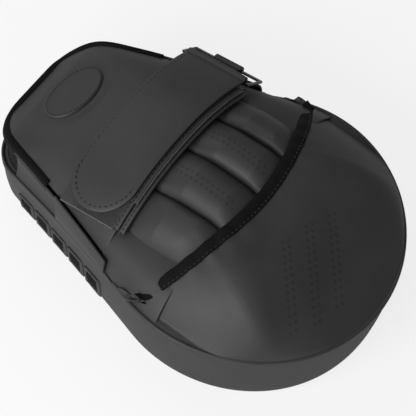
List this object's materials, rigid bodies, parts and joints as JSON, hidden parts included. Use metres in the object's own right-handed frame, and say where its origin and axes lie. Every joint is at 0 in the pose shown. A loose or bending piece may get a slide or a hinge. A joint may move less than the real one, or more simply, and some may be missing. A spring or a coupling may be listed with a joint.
{
  "type": "focus mitt",
  "caption": "Curved left-hand focus mitt: padded strike pad, finger hood, ribbed back panel, hinged wrist cuff and hook-and-loop strap through a wire ring.",
  "frame": {"origin": "bottom centre of the mitt, on the surface its two ends rest on", "axes": "+X thumb side, +Y fingers, +Z back of the hand; strike face down"},
  "size_m": [0.186, 0.27, 0.1129],
  "materials": {
    "leather": "matte grained",
    "binding": "woven tape",
    "foam": "foam",
    "lining": "woven",
    "mesh": "open mesh",
    "loop": "loop pile",
    "hook": "hook tape",
    "ring": "gloss black"
  },
  "bodies": {
    "root": {"strike_face_panel": "leather", "strike_foam_front": "foam", "strike_foam_middle": "foam", "strike_foam_back": "foam", "palm_lining": "lining", "side_wall_front": "leather", "side_wall_rear": "leather", "side_mesh_band": "mesh", "hood_shell": "leather", "hood_foam": "foam", "hood_lining": "lining", "hood_binding": "binding", "rim_piping": "leather", "back_panel_shell": "leather", "back_panel_lining": "lining", "back_rib_foam_1": "foam", "back_rib_foam_2": "foam", "back_rib_foam_3": "foam", "back_rib_foam_4": "foam", "back_panel_hem": "leather", "thumb_gusset": "leather", "little_finger_gusset": "leather", "thumb_side_panel": "leather", "little_finger_side_panel": "leather", "wrist_band_shell": "leather", "wrist_band_foam": "foam", "wrist_band_lining": "lining", "strap_under_layer": "leather", "loop_tape": "loop", "ring_tab": "leather"},
    "cuff": {"cuff_shell": "leather", "cuff_foam": "foam", "cuff_lining": "lining", "cuff_binding": "binding", "cuff_badge": "leather"},
    "ring": {"strap_ring": "ring"},
    "strap": {"strap_over_layer": "leather", "strap_core": "foam", "strap_fold": "leather"},
    "strap_tip": {"strap_tip_layer": "leather", "strap_tip_core": "foam", "hook_tape": "hook"}
  },
  "joints": [
    {"name": "cuff_hinge", "type": "hinge", "parent": "root", "child": "cuff", "pos_m": [0, -0.062, 0.09952], "axis": [-1, 0, 0], "range_deg": [0, 20]},
    {"name": "ring_hinge", "type": "hinge", "parent": "root", "child": "ring", "pos_m": [-0.078, -0.03561, 0.07681], "axis": [0, -0.9881, -0.1541], "range_deg": [0, 12]},
    {"name": "strap_hinge", "type": "hinge", "parent": "ring", "child": "strap", "pos_m": [-0.067, -0.037, 0.0857], "axis": [0, -0.9881, -0.1541], "range_deg": [0, 110]},
    {"name": "strap_tip_hinge", "type": "hinge", "parent": "strap", "child": "strap_tip", "pos_m": [0.024, -0.04035, 0.10718], "axis": [0, -0.9881, -0.1541], "range_deg": [0, 60]}
  ]
}
